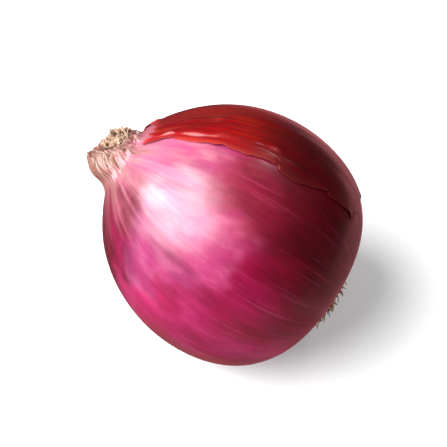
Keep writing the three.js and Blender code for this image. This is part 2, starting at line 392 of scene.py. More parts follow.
def spun_bulb():
    piece = draw_outline()
    piece.name = "bulb_surface"
    neck_end = len(piece.data.vertices) - 1
    carry_on(piece, 0, [Vector((r, 0, z)) * MM for r, z in INTO_ROOT_HOLLOW])
    carry_on(piece, neck_end, [
        Vector((NECK_END_RADIUS - share * NECK_WALL, 0, NECK_END_AT + z * MM))
        for share, z in INTO_MOUTH
    ])
    return in_edit_mode(piece, spin_round, merge_points, face_outwards)


bulb = spun_bulb()
report(bulb)

# %% [markdown]
# Each point is moved to the grown shape, then pushed out along its normal by the relief. The
# dried end of the neck is worn round at its outer rim, flares a little on its long side, and
# each of its layers is ragged in a way of its own. Last the whole is laid down, and what would
# be below the surface is the small flat spot that it rests on.

# %% Grow, crumple and lay down the bulb
# Worn round: by how much, and from how far below the end.
RIM_ROUNDING, RIM_ROUND_FROM = 0.4 * MM, 1.0 * MM
# The flare: how wide, at which height, and how far up and down it reaches.
COLLAR, COLLAR_AT, COLLAR_REACH = 0.6 * MM, 34.4 * MM, 1.4 * MM
# Ragged: heights off the middle of the rim, and distances off the mouth's wall, for none and all.
RIM_MIDDLE, RAGGED_HEIGHTS, RAGGED_RADII = 0.1 * MM, (1.2 * MM, 0.2 * MM), (0.3 * MM, 0.1 * MM)
SCALES_IN_WALL = 2.5
# Round the root plate the skin is smooth: distances off the axis with no and with full relief.
RELIEF_FROM, RELIEF_FULL = 4.6 * MM, 6.5 * MM
RELIEF_IN_MOUTH = 0.3


def ragged(angle, seed):
    """The uneven height of a dried edge, in metres: broken all round, higher on the low side."""
    coarse = ripple(1.6 * math.cos(angle), 1.6 * math.sin(angle), seed)
    fine = ripple(6 * math.cos(angle), 6 * math.sin(angle), seed + 7)
    tongue = smooth(0.3, -1, math.cos(angle - MOUTH_SHIFT_TO))
    return MM * (0.5 * coarse + 0.4 * fine + 0.2 * tongue)


def lay_down(piece):
    piece.data.transform(TO_WORLD)
    for vertex in piece.data.vertices:
        vertex.co.z = max(vertex.co.z, 0.0)
    piece.data.update()


def neck_step(radius, angle, height):
    """The step out to the flare of the neck, and back in where the rim is worn round."""
    outside = smooth(MOUTH_RADIUS, NECK_END_RADIUS, radius)
    worn = outside * smooth(NECK_END_AT - RIM_ROUND_FROM, NECK_END_AT, height)
    collar = outside * math.exp(-((height - COLLAR_AT) / COLLAR_REACH) ** 2)
    collar *= smooth(0.6, -0.6, math.cos(angle - NECK_SLANT_TO))
    return step_to(COLLAR * collar - RIM_ROUNDING * worn ** 2, angle)


def rim_rise(radius, angle, height):
    """How much higher the ragged rim stands, layer by layer."""
    at_rim = smooth(*RAGGED_HEIGHTS, abs(height - NECK_END_AT - RIM_MIDDLE))
    at_rim *= smooth(MOUTH_RADIUS - RAGGED_RADII[0], MOUTH_RADIUS + RAGGED_RADII[1], radius)
    layer = round(SCALES_IN_WALL * (NECK_END_RADIUS - radius) / NECK_WALL)
    return at_rim * ragged(angle, 5 + 3 * layer)


def grow(piece):
    places = [polar(vertex.co) for vertex in piece.data.vertices]
    for vertex, place in zip(piece.data.vertices, places):
        vertex.co = bulb_point(*place) + neck_step(*place)
        if place[2] > SHOULDER_AT:
            vertex.co.z += rim_rise(*place)
    piece.data.update()
    normals = [vertex.normal.copy() for vertex in piece.data.vertices]
    for vertex, normal, (radius, angle, height) in zip(piece.data.vertices, normals, places):
        outer = smooth(RELIEF_FROM, RELIEF_FULL, radius) if height < WIDEST_AT else 1.0
        share = RELIEF_IN_MOUTH if in_mouth(radius, height) else 1
        vertex.co += normal * relief(angle, height) * outer * share
    lay_down(piece)


grow(bulb)
report(bulb)

# %% [markdown]
# ## The dry outer skin
# The outermost scale has died and dried to paper. Half of it has come off. What is left clings
# to the back and top, and ends in edges that tore along the veins, with nicks and points. It is
# a grid laid on the surface: one side of the grid runs from root to neck, the other round the
# bulb. The edges lift and curl, because a dried sheet shrinks, and it has shrunk into a long
# crease near its front edge, with a fainter one behind it. Cloth could be simulated, but the
# skin is stiff and holds the bulb's own form, so a sheet set off from it is truer.

# %% Where the skin lies
# Angles of the front edge at the root and at the neck, and of the back edge.
SKIN_FRONT = (math.radians(6), math.radians(-5))
SKIN_BACK = math.radians(124)

outline_length = [0.0]
for before, after in zip(FINE_OUTLINE, FINE_OUTLINE[1:]):
    outline_length.append(outline_length[-1] + (after - before).length)


def outline_at(share):
    """Distance off the axis and height, at a share of the outline's length."""
    length = clamp(share) * outline_length[-1]
    high = min(bisect.bisect_right(outline_length, length), len(outline_length) - 1)
    before, after = outline_length[high - 1], outline_length[high]
    return FINE_OUTLINE[high - 1].lerp(FINE_OUTLINE[high], (length - before) / (after - before))


def tear(x, seed):
    """A torn line's waves, from -1 to 1."""
    wave = 0.6 * math.sin(6.5 * x + seed) + 0.27 * math.sin(17 * x + 2.1 * seed)
    return wave + 0.13 * math.sin(31 * x)


def nick(x, seed):
    """Small sharp nicks, from 0 to 1: the edge follows a vein, then jumps to the next."""
    step = math.floor(x)
    depth = noise.cell(Vector((step, seed, 0)))
    return depth * (1 - (x - step)) ** 2


def fade(x, reach):
    """1 at the edge and nothing past its reach, so that a nick moves only the edge."""
    return max(1 - x / reach, 0) ** 2


def skin_place(along, across):
    """Where a point of the sheet lies: its share of the outline's length, and its angle."""
    root_edge = 0.19 + 0.035 * tear(1.6 * across, 0.4) + 0.05 * across
    neck_edge = 0.885 + 0.02 * tear(1.4 * across, 2.2)
    front = mix(*SKIN_FRONT, along) + math.radians(4) * tear(along, 2.6)
    back = SKIN_BACK + math.radians(9) * tear(along, 3.9)
    share, angle = mix(root_edge, neck_edge, along), mix(front, back, across)
    # First the ends are nicked and frayed, then the sides.
    fray = 0.3 + ripple(22 * across, 0, 2)
    share += fade(along, 0.14) * (0.022 * nick(15 * across, 4) + 0.006 * fray)
    share -= fade(1 - along, 0.14) * (0.03 * nick(13 * across, 5) + 0.008 * fray)
    fray = 0.3 + ripple(26 * along, 0, 9)
    angle += fade(across, 0.1) * math.radians(2.4 * nick(9 * along + 0.3, 6) + 0.7 * fray)
    angle -= fade(1 - across, 0.14) * math.radians(6 * nick(8 * along, 7) + 1.2 * fray)
    return share, angle


def surface(share, angle):
    place = outline_at(share)
    return bulb_point(place.x, angle, place.z)


def surface_normal(share, angle):
    step = 0.002
    along = surface(share + step, angle) - surface(share - step, angle)
    across = surface(share, angle + step) - surface(share, angle - step)
    return across.cross(along).normalized()


# %% Creases, waves and curled edges
# Two creases run along the sheet: (place across it, seed, place along it where it starts).
FRONT_CREASE, BACK_CREASE = (0.06, 5, 0.3), (0.17, 8, 0.5)
BACK_CREASE_SHARE = 0.6
CREASE_HEIGHT = 0.3 * MM
# Half widths of a crease in front and behind, as shares of the sheet's width.
CREASE_FRONT, CREASE_BEHIND = 0.0125, 0.03
# Where the front crease stands up most: place along the sheet, half length, extra strength.
STRETCHES = [(0.69, 0.07, 0.35), (0.475, 0.05, 0.4), (0.35, 0.05, 0.45)]
# In millimetres: what the sheet's width and length count as, and how far in from its edge it
# is thin and curls.
SHEET_ACROSS, SHEET_ALONG = 34, 42
THIN_REACH, CURL_REACH = 0.9, 1.0


def fold(along, across, at, seed, starts, stretches=()):
    """The height of a crease that runs along the sheet: steep in front, gentle behind."""
    off = across - at - 0.01 * tear(1.1 * along, seed)
    broken = 0.55 + 0.6 * ripple(5 * along, seed, 3)
    broken += 1.1 * ripple(15 * along, seed, 6)
    strength = smooth(starts, starts + 0.25, along) * (1 - smooth(0.86, 0.96, along)) * broken
    for place, half_length, extra in stretches:
        strength += extra * math.exp(-((along - place) / half_length) ** 2)
    half_width = CREASE_FRONT if off < 0 else CREASE_BEHIND
    return CREASE_HEIGHT * max(strength, 0) * math.exp(-(off / half_width) ** 2)


def creases(along, across):
    front = fold(along, across, *FRONT_CREASE, STRETCHES)
    return front + BACK_CREASE_SHARE * fold(along, across, *BACK_CREASE)


def waves(along, across):
    """The sheet doesn't cling evenly: slow waves, and closer ones that run along it."""
    slow = ripple(5 * along, 5 * across, 1.5)
    return slow + 0.5 * ripple(4 * along, 14 * across, 8)


def edge_distance(along, across):
    sides = min(across * SHEET_ACROSS, (1 - across) * SHEET_ACROSS)
    ends = min(along * SHEET_ALONG, (1 - along) * SHEET_ALONG)
    return min(sides, ends)


def curl(along, across):
    """The edge curls up, here more and there less, and most in the half towards the neck."""
    uneven = 0.35 + 0.9 * ripple(7 * along, 7 * across, 4.5)
    amount = math.exp(-edge_distance(along, across) / CURL_REACH) * uneven
    return max(amount * (0.35 + 0.65 * smooth(0.35, 0.6, along)), 0)


# %% [markdown]
# The grid is laid point by point. Two attributes are kept for the material: how near a point
# is to the torn edge, and how high it stands on a crease. Solidify gives the sheet its two
# sides, so its faces have to point outwards first.

# %% Lay the skin
SKIN_LIFT = 0.1 * MM
SKIN_UNEVEN = 0.05 * MM
SKIN_CURL = 0.3 * MM
SKIN_THICKNESS = 0.06 * MM
SKIN_ROWS = 200
SKIN_COLUMNS = 200


def closer_at_edges(x):
    """Spaces the rows of the grid more closely at both ends."""
    return mix(x, 0.5 - 0.5 * math.cos(math.pi * x), 0.5)


def dry_skin():
    piece = new_piece("dry_skin", bpy.ops.mesh.primitive_grid_add,
                      x_subdivisions=SKIN_COLUMNS, y_subdivisions=SKIN_ROWS, size=1)
    piece.data.attributes.new("torn_edge", "FLOAT", "POINT")
    piece.data.attributes.new("crease", "FLOAT", "POINT")
    edge, crease = piece.data.attributes["torn_edge"], piece.data.attributes["crease"]
    for vertex, near_edge, creased in zip(piece.data.vertices, edge.data, crease.data):
        across, along = closer_at_edges(vertex.co.x + 0.5), closer_at_edges(vertex.co.y + 0.5)
        share, angle = skin_place(along, across)
        raised = creases(along, across)
        near_edge.value = math.exp(-edge_distance(along, across) / THIN_REACH)
        creased.value = clamp(raised / CREASE_HEIGHT)
        lift = SKIN_LIFT + SKIN_UNEVEN * waves(along, across) + SKIN_CURL * curl(along, across)
        lift += relief(angle, outline_at(share).z)
        lift += raised
        vertex.co = surface(share, angle) + surface_normal(share, angle) * lift
    piece.data.transform(TO_WORLD)
    in_edit_mode(piece, face_outwards)
    return piece


skin = dry_skin()
middle_face = skin.data.polygons[len(skin.data.polygons) // 2]
from_bulb_middle = middle_face.center - TO_WORLD @ Vector((0, 0, WIDEST_AT))
if from_bulb_middle.dot(middle_face.normal) <= 0:
    in_edit_mode(skin, lambda: bpy.ops.mesh.flip_normals())
apply_modifier(skin, "SOLIDIFY", thickness=SKIN_THICKNESS, offset=1)
report(skin)

# %% [markdown]
# ## The tips in the neck
# Inside the neck the scales end in dead tips: thin, brown, curled and broken. One tip is made
# from a small grid that is rolled into a gutter with a torn top. Copies of it are rolled
# tighter or wider, and stand in three rings, one inside the other, in the mouth of the neck.
# They grow out of a low plug, which closes the mouth below them and is painted dark as shade. An
# attribute tells the material how far up its tip each point is, so the tips darken towards their
# feet as painted shade in the gaps.

# %% One dried tip, then all of them
OUT_OF_NECK = (step_to(NECK_SLANT, NECK_SLANT_TO) + Vector((0, 0, 1))).normalized()
TIP_FOOT = -0.75 * MM
TIP_LEAN = 0.28 * MM
TIP_THICKNESS = 0.13 * MM
PLUG_GAP = 0.16 * MM
# Each ring of tips: its share of the mouth's radius, how many tips, and their length in mm.
TIP_RINGS = [(0.8, 5, 1.45), (0.55, 4, 1.75), (0.28, 3, 2.0)]


def neck_point(radius, angle, lift):
    """A point in or over the mouth of the neck, measured from the slanted end."""
    place = step_to(radius, angle) + neck_lean(NECK_END_AT) + mouth_shift(MOUTH_RADIUS)
    place.z = neck_end_height(radius, angle) + lift
    return place


def tip_sheet():
    piece = new_piece("scale_tip", bpy.ops.mesh.primitive_grid_add,
                      x_subdivisions=26, y_subdivisions=14, size=1)
    piece.data.attributes.new("up_the_tip", "FLOAT", "POINT")
    return piece


def roll_tip(piece, radius, turn, span, length, seed):
    """Rolls the flat sheet round the neck's axis, with a torn top that leans inwards or out."""
    up_the_tip = piece.data.attributes["up_the_tip"].data
    for vertex, share in zip(piece.data.vertices, up_the_tip):
        across, up = vertex.co.x, vertex.co.y + 0.5
        share.value = up
        torn = 0.3 * ripple(9 * across, seed, 0)
        torn += 0.16 * ripple(27 * across, seed, 3)
        point_up = 1 - 1.6 * abs(across) ** 1.5
        rise = up * length * (0.55 + 0.45 * point_up + torn)
        crumple = ripple(5 * across, 2.5 * up, seed + 20)
        lean = TIP_LEAN * up * ripple(2 * across, seed, 6)
        spread = radius * (1 + 0.22 * crumple) + lean
        vertex.co = neck_point(spread, turn + span * across, TIP_FOOT) + OUT_OF_NECK * rise
    piece.data.update()


def tip_ring(first, index, rng):
    """One ring of copies, each turned, stretched and torn a little differently."""
    share, count, length = TIP_RINGS[index]
    ring = [own_copy(first) for _ in range(count)]
    for k, tip in enumerate(ring):
        turn = 2 * math.pi * (k + 0.5 * index + 0.2 * rng.random()) / count
        span = 2 * math.pi / count * rng.uniform(0.85, 1.15)
        reach = length * rng.uniform(0.8, 1.15) * MM
        roll_tip(tip, share * MOUTH_RADIUS, turn, span, reach, 10 * index + 3 * k)
        apply_modifier(tip, "SOLIDIFY", thickness=TIP_THICKNESS, offset=0)
    return ring


def mouth_plug():
    """A ball pressed to a low, bumpy plug."""
    plug = new_piece("scale_tips", bpy.ops.mesh.primitive_uv_sphere_add,
                     segments=32, ring_count=16, radius=1)
    for vertex in plug.data.vertices:
        radius, angle, height = polar(vertex.co)
        bump = ripple(3 * vertex.co.x, 3 * vertex.co.y, 9)
        lift = (-0.8 + 0.35 * height + 0.16 * bump) * MM
        vertex.co = neck_point(radius * (MOUTH_RADIUS - PLUG_GAP), angle, lift)
    return plug


def scale_tips():
    rng = random.Random(12)
    first = tip_sheet()
    tips = []
    for index in range(len(TIP_RINGS)):
        tips += tip_ring(first, index, rng)
    bpy.data.objects.remove(first)
    return join_in_the_world(mouth_plug(), tips)


tips = scale_tips()
report(tips)

# %% [markdown]
# ## The root plate and its roots
# At the other end sits a corky plate, and out of it came a brush of roots, which have dried to
# stiff brown threads and were cropped short. One straight root is a thin cylinder with enough
# rings to bend. Each copy gets its own length, bend and thickness, and is set on the plate in
# the order of seeds in a seed head, which spreads them evenly. They are joined with the plate.

# %% Root plate
PLATE_RADIUS = ROOT_LIP_RADIUS - 0.65 * MM
LUMP_HEIGHT = 0.16 * MM


def root_plate():
    """A ball pressed to a thick disc, with lumps on the side that faces out."""
    piece = new_piece("root_brush", bpy.ops.mesh.primitive_uv_sphere_add,
                      segments=64, ring_count=32, radius=1)
    for vertex in piece.data.vertices:
        radius, angle, height = polar(vertex.co)
        lumps = ripple(4 * vertex.co.x, 4 * vertex.co.y, 5)
        lumps += 0.6 * noise.noise(9 * vertex.co)
        r = radius ** 0.7 * PLATE_RADIUS * (1 + 0.04 * lumps)
        z = (0.35 + 0.75 * height) * MM + (LUMP_HEIGHT * lumps if height < 0 else 0)
        vertex.co = Vector((r * math.cos(angle), r * math.sin(angle), z))
    piece.data.update()
    return piece


plate = root_plate()
report(plate)

# %% One root
ROOTS = 220
ROOT_LENGTH = (0.9 * MM, 2.2 * MM)
ROOT_RADIUS = (0.08 * MM, 0.17 * MM)
ROOT_DROOP = 0.5
ROOT_INSET = 0.15 * MM
ROOT_WRIGGLE = 0.22
# The turn from one seed of a seed head to the next, in radians.
GOLDEN_TURN = 2.39996


def straight_root():
    """A six-sided thread from 0 to 1, its long edges cut in seven so that it can bend."""
    piece = new_piece("root", bpy.ops.mesh.primitive_cylinder_add,
                      vertices=6, radius=1, depth=1, location=(0, 0, 0.5))
    bpy.ops.object.transform_apply(location=True, rotation=True, scale=True)
    only(piece)
    bpy.ops.object.mode_set(mode="EDIT")
    bpy.ops.mesh.select_mode(type="EDGE")
    bpy.ops.mesh.select_all(action="DESELECT")
    bpy.ops.object.mode_set(mode="OBJECT")
    for edge in piece.data.edges:
        a, b = (piece.data.vertices[i].co for i in edge.vertices)
        edge.select = abs(a.z - b.z) > 0.5
    bpy.ops.object.mode_set(mode="EDIT")
    bpy.ops.mesh.subdivide(number_cuts=6)
    bpy.ops.object.mode_set(mode="OBJECT")
    return piece


def bend_root(piece, foot, way, end, radius, seed):
    """Bends a straight root of length 1 along a curve from foot to end, and tapers it."""
    handle = foot.lerp(end, 0.45) + way
    side = (end - foot).cross(Vector((0.3, 1, 0.2))).normalized()
    over = (end - foot).cross(side).normalized()
    for vertex in piece.data.vertices:
        t = vertex.co.z
        middle = foot.lerp(handle, t).lerp(handle.lerp(end, t), t)
        wriggle = Vector([ripple(3 * t, seed, 40 * k) for k in range(3)]) * ROOT_WRIGGLE * MM * t
        r = radius * (1 - 0.55 * t) * (1 + 0.25 * ripple(7 * t, seed, 4))
        vertex.co = middle + wriggle + side * vertex.co.x * r + over * vertex.co.y * r
    piece.data.update()


# %% All the roots
def add_roots(plate):
    rng = random.Random(5)
    first = straight_root()
    roots = []
    for i in range(ROOTS):
        out = math.sqrt((i + 0.5) / ROOTS)
        angle = i * GOLDEN_TURN + rng.uniform(-0.2, 0.2)
        side = Vector((math.cos(angle), math.sin(angle), 0))
        twist = Vector((-side.y, side.x, 0)) * rng.uniform(-1.3, 1.3) * MM
        length = rng.uniform(*ROOT_LENGTH)
        foot = side * out * (PLATE_RADIUS - ROOT_INSET) + Vector((0, 0, 0.3 * MM * out))
        end = foot + side * 0.3 * out * length + twist
        end += Vector((-ROOT_DROOP * length, 0, -0.75 * length))
        way = side * rng.uniform(-0.4, 0.5) * MM + Vector((0, 0, -0.35 * length))
        root = own_copy(first)
        bend_root(root, foot, way, end, rng.uniform(*ROOT_RADIUS), i)
        roots.append(root)
    bpy.data.objects.remove(first)
    return join_in_the_world(plate, roots)


brush = add_roots(plate)
in_edit_mode(brush, face_outwards)
report(brush)

# %% [markdown]
# ## Smooth shading
# The bulb and its skin are curved all over, so their faces are shaded smooth. Torn and cut
# edges stay crisp, because faces that meet at a sharp angle keep their edge.

# %% Shade smooth
for piece, angle in ((bulb, 60), (skin, 50), (tips, 50), (brush, 60)):
    only(piece)
    bpy.ops.object.shade_smooth_by_angle(angle=math.radians(angle))

# %% [markdown]
# ## Shader groups
# Four effects are shared by the materials, so each is a node group of its own: streaks, height,
# blotches, and a patch on one side. All read Object coordinates. For the first three a Mapping
# node turns these into the bulb's own frame, so that streaks run from root to neck however the
# bulb lies. The patch keeps to a side as the bulb lies.

# %% Helpers to write node trees
INTO_BULB = TO_WORLD.inverted()


def add(tree, kind, inputs=None, **settings):
    """Adds a node, sets its properties, and fills its inputs with values or links."""
    node = tree.nodes.new(kind)
    for name, value in settings.items():
        setattr(node, name, value)
    for name, value in (inputs or {}).items():
        if isinstance(value, bpy.types.NodeSocket):
            tree.links.new(value, node.inputs[name])
        else:
            node.inputs[name].default_value = value
    return node


def math_node(tree, operation, *values):
    return add(tree, "ShaderNodeMath", dict(enumerate(values)), operation=operation).outputs[0]


def plus(tree, a, b):
    return math_node(tree, "ADD", a, b)


def times(tree, a, b):
    return math_node(tree, "MULTIPLY", a, b)


def map_range(tree, value, low, high, to_low=0.0, to_high=1.0):
    ends = {"Value": value, "From Min": low, "From Max": high, "To Min": to_low, "To Max": to_high}
    node = add(tree, "ShaderNodeMapRange", ends, interpolation_type="SMOOTHSTEP")
    return node.outputs["Result"]


def mix_colour(tree, factor, a, b, blend="MIX"):
    a, b = [x if isinstance(x, bpy.types.NodeSocket) else (*x, 1) for x in (a, b)]
    inputs = {0: factor, 6: a, 7: b}
    return add(tree, "ShaderNodeMix", inputs, data_type="RGBA", blend_type=blend).outputs[2]


def layer(tree, colour, mask, amount, over):
    """Lays another colour over the first, as much as the amount says, where the mask is."""
    return mix_colour(tree, times(tree, mask, amount), colour, over)


def new_group(name, inputs, outputs):
    group = bpy.data.node_groups.new(name, "ShaderNodeTree")
    for label, value in inputs.items():
        kind = "NodeSocketVector" if isinstance(value, tuple) else "NodeSocketFloat"
        socket = group.interface.new_socket(name=label, in_out="INPUT", socket_type=kind)
        socket.default_value = value
    for label in outputs:
        group.interface.new_socket(name=label, in_out="OUTPUT", socket_type="NodeSocketFloat")
    start = group.nodes.new("NodeGroupInput")
    end = group.nodes.new("NodeGroupOutput")
    return group, start.outputs, end.inputs


def bulb_coordinates(tree):
    """Object coordinates in the bulb's own frame, in millimetres."""
    turned = add(tree, "ShaderNodeMapping", {
        "Vector": add(tree, "ShaderNodeTexCoord").outputs["Object"],
        "Location": INTO_BULB.translation / MM,
        "Rotation": INTO_BULB.to_euler(),
        "Scale": (1 / MM,) * 3,
    }, vector_type="POINT")
    return turned.outputs["Vector"]


def sharpened_noise(group, given, place, scale):
    """Noise with its contrast raised: what is under Low is 0, and what is over High is 1."""
    inputs = {"Vector": place, "Scale": scale, "Detail": given["Detail"]}
    grain = add(group, "ShaderNodeTexNoise", inputs)
    return map_range(group, grain.outputs[0], given["Low"], given["High"])


# %% Streaks from root to neck
def streaks_group():
    """Noise on a circle round the axis, drawn out along it. Contrast narrows it to thin lines."""
    group, given, out = new_group(
        "root_to_neck_streaks",
        {"Around": 10.0, "Along": 0.05, "Seed": 0.0, "Detail": 2.0, "Low": 0.35, "High": 0.65},
        ["Streaks"],
    )
    place = add(group, "ShaderNodeSeparateXYZ", {"Vector": bulb_coordinates(group)}).outputs
    x, y, z = place["X"], place["Y"], place["Z"]
    squares = plus(group, times(group, x, x), times(group, y, y))
    radius = math_node(group, "MAXIMUM", math_node(group, "SQRT", squares), 0.01)
    scale = math_node(group, "DIVIDE", given["Around"], radius)
    ring = add(group, "ShaderNodeCombineXYZ", {
        "X": times(group, x, scale),
        "Y": times(group, y, scale),
        "Z": plus(group, times(group, z, given["Along"]), given["Seed"]),
    }).outputs["Vector"]
    group.links.new(sharpened_noise(group, given, ring, 1.0), out["Streaks"])
    return group


# %% Height up the bulb, soft blotches and a patch on one side
def height_group():
    """0 at the root end and 1 at the end of the neck."""
    group, _, out = new_group("height_up_the_bulb", {}, ["Height"])
    place = add(group, "ShaderNodeSeparateXYZ", {"Vector": bulb_coordinates(group)}).outputs
    group.links.new(math_node(group, "DIVIDE", place["Z"], NECK_END_AT / MM), out["Height"])
    return group


def blotch_group():
    """Soft patches, as where the skin is thinner or more of the colour has gathered."""
    group, given, out = new_group(
        "soft_blotches",
        {"Size": 5.0, "Seed": 0.0, "Detail": 3.0, "Low": 0.4, "High": 0.6},
        ["Blotches"],
    )
    place = add(group, "ShaderNodeVectorMath", {0: bulb_coordinates(group)}, operation="ADD")
    shift = add(group, "ShaderNodeCombineXYZ", {"X": given["Seed"], "Z": given["Seed"]})
    group.links.new(shift.outputs["Vector"], place.inputs[1])
    scale = math_node(group, "DIVIDE", 1.0, given["Size"])
    group.links.new(sharpened_noise(group, given, place.outputs[0], scale), out["Blotches"])
    return group


def side_patch_group():
    """A soft patch on the side of the bulb that faces a direction: 1 inside it and 0 outside."""
    group, given, out = new_group(
        "side_patch",
        {"Towards": (1.0, 0.0, 0.0), "From": 0.5, "To": 1.0, "Uneven": 0.3},
        ["Patch"],
    )
    place = add(group, "ShaderNodeTexCoord").outputs["Object"]

    def step(operation, *inputs):
        node = add(group, "ShaderNodeVectorMath", dict(enumerate(inputs)), operation=operation)
        return node.outputs["Value" if operation == "DOT_PRODUCT" else "Vector"]

    facing = step("NORMALIZE", step("SUBTRACT", place, (0, 0, BULB_RADIUS)))
    across = step("DOT_PRODUCT", facing, given["Towards"])
    grain = add(group, "ShaderNodeTexNoise", {"Vector": place, "Scale": 0.14 / MM, "Detail": 3.0})
    wander = math_node(group, "SUBTRACT", grain.outputs[0], 0.5)
    reach = plus(group, across, times(group, wander, given["Uneven"]))
    group.links.new(map_range(group, reach, given["From"], given["To"]), out["Patch"])
    return group


STREAKS, HEIGHT = streaks_group(), height_group()
BLOTCHES, SIDE_PATCH = blotch_group(), side_patch_group()


# %% Helpers to write a material
def group_node(tree, group, *values):
    """Places a group. Its values go to its inputs in the order in which the group lists them.

    STREAKS: how many lie around, change along, seed, detail, noise that is 0 and that is 1.
    BLOTCHES: size in millimetres, seed, detail, noise that is 0 and that is 1.
    SIDE_PATCH: direction, cosines at which the patch starts and is full.
    """
    node = tree.nodes.new("ShaderNodeGroup")
    node.node_tree = group
    for socket, value in zip(node.inputs, values):
        socket.default_value = value
    return node.outputs[0]


def new_material(name, **constants):
    """A material with a Principled shader. The constants are set on the shader's own sockets."""
    material = bpy.data.materials.new(name)
    material.use_nodes = True
    tree = material.node_tree
    shader = tree.nodes["Principled BSDF"]
    for label, value in constants.items():
        shader.inputs[label.replace("_", " ")].default_value = value
    return material, tree, shader


def raise_lines(tree, shader, height, strength, distance):
    """Relief that is too fine to be modelled."""
    inputs = {"Height": height, "Strength": strength, "Distance": distance}
    bump = add(tree, "ShaderNodeBump", inputs)
    tree.links.new(bump.outputs["Normal"], shader.inputs["Normal"])


# %% [markdown]
# ## The fresh pink skin
# Under the gloss lies a magenta that runs from hot pink to a dark crimson in broad streaks. Soft
# patches of other colours are laid over it. Some are pigment, some are painted highlight where the
# softbox shines, and some are painted shade on the left edge and the right side. The whole is
# marbled, the veins are darker lines, and thin pale lines lie between them.

# %% Colours of the fresh skin
PINK, CRIMSON = (0.34, 0.005, 0.1), (0.21, 0.0005, 0.02)
# Marbling and veins multiply the colour below them by these.
LIGHTER, DARKER = (1.35, 3.5, 1.6), (0.5, 0.3, 0.38)
PALE_LINE = (0.7, 0.09, 0.27)
# Patches of other colour: (direction from the middle of the bulb, cosines at which the patch
# starts and is full, how much of it, colour). Some are pigment; the others are painted highlight
# and painted shade, as marked.
COLOUR_AND_PAINTED_LIGHT_PATCHES = [
    # painted highlight: pale pink with a grey haze where the softbox shines
    ((-0.28, -0.48, 0.83), 0.72, 0.98, 0.75, (0.42, 0.07, 0.17)),
    # painted highlight: pale pink between the neck and the highlight
    ((-0.66, -0.22, 0.72), 0.84, 0.98, 0.7, (0.45, 0.08, 0.19)),
    ((0.33, -0.25, 0.91), 0.84, 0.98, 0.8, (0.26, 0.012, 0.026)),
    ((0.42, -0.74, 0.53), 0.6, 0.95, 0.75, (0.24, 0.0005, 0.03)),
    # painted highlight: the lilac tail below the highlight
    ((0.02, -0.76, 0.65), 0.91, 0.99, 0.6, (0.46, 0.045, 0.18)),
    ((-0.42, -0.9, 0.1), 0.84, 0.98, 0.7, (0.4, 0.014, 0.1)),
    # painted shade on the left edge, over a deeper crimson
    ((-0.85, -0.46, 0.25), 0.885, 0.985, 0.95, (0.11, 0.0004, 0.008)),
    # painted highlight: pale lilac below the left of the highlight
    ((-0.39, -0.82, 0.43), 0.93, 1.0, 0.5, (0.28, 0.04, 0.15)),
    # painted shade: the right side, away from the softbox, darkened nearly to black
    ((0.93, 0.2, 0.3), 0.2, 0.82, 0.92, (0.07, 0.0002, 0.003)),
]


def body_colour(tree, veins, pale):
    broad = group_node(tree, STREAKS, 1.7, 0.07, 4, 2, 0.4, 0.62)
    colour = mix_colour(tree, broad, CRIMSON, PINK)
    for towards, start, full, amount, patch_colour in COLOUR_AND_PAINTED_LIGHT_PATCHES:
        patch = group_node(tree, SIDE_PATCH, towards, start, full)
        colour = layer(tree, colour, patch, amount, patch_colour)
    marbled = group_node(tree, STREAKS, 6, 0.22, 3, 3, 0.42, 0.7)
    dark = group_node(tree, STREAKS, 5, 0.12, 17, 3, 0.42, 0.75)
    lighter = mix_colour(tree, 1.0, colour, LIGHTER, "MULTIPLY")
    colour = layer(tree, colour, marbled, 0.7, lighter)
    darker = mix_colour(tree, 1.0, colour, DARKER, "MULTIPLY")
    colour = layer(tree, colour, dark, 0.7, darker)
    colour = layer(tree, colour, veins, 0.5, darker)
    return layer(tree, colour, pale, 0.14, PALE_LINE)


# %% [markdown]
# Towards the neck and the root the colour fades, in streaks and not along a line. The neck is
# cream, with brown fibres where it has dried. On the left edge the colour fades less, to keep the
# painted shade there. Round the root plate pale rays spread, and next to the plate they are straw.

# %% Where the colour fades
FADED_PINK, CREAM, FIBRE_BROWN = (0.46, 0.13, 0.2), (0.36, 0.205, 0.15), (0.13, 0.045, 0.025)
RAY_PINK, RAY_STRAW = (0.42, 0.14, 0.13), (0.3, 0.14, 0.07)


def fade_to_neck(tree, colour, height, wander):
    near_neck = map_range(tree, plus(tree, height, times(tree, wander, 0.12)), 0.83, 0.98)
    # painted shade: on the left edge the colour fades less towards the neck
    painted_shade_left = group_node(tree, SIDE_PATCH, (-0.8, -0.55, 0.2), 0.87, 0.98)
    faded = times(tree, near_neck, map_range(tree, painted_shade_left, 0.0, 1.0, 0.85, 0.35))
    colour = mix_colour(tree, faded, colour, FADED_PINK)
    on_neck = map_range(tree, plus(tree, height, times(tree, wander, 0.06)), 0.87, 0.99)
    colour = layer(tree, colour, on_neck, 0.88, CREAM)
    fibres = group_node(tree, STREAKS, 13, 0.25, 71, 3, 0.43, 0.6)
    browned = times(tree, on_neck, times(tree, fibres, 0.9))
    return mix_colour(tree, browned, colour, FIBRE_BROWN), on_neck


def fade_to_root(tree, colour, height, wander):
    rays = group_node(tree, STREAKS, 19, 0.05, 67, 4, 0.3, 0.72)
    height = math_node(tree, "SUBTRACT", height, times(tree, rays, 0.035))
    height = math_node(tree, "SUBTRACT", height, times(tree, wander, 0.015))
    colour = layer(tree, colour, map_range(tree, height, 0.02, -0.05), 0.75, RAY_PINK)
    return layer(tree, colour, map_range(tree, height, -0.02, -0.06), 0.6, RAY_STRAW)


# %% [markdown]
# The gloss is a clear coat over a softer shine. The coat is a film that is thinner in some
# streaks than in others, so highlights break up along the bulb. The dry neck is duller. A
# little light goes under the surface, and fine lines stand up or lie low as the veins do.

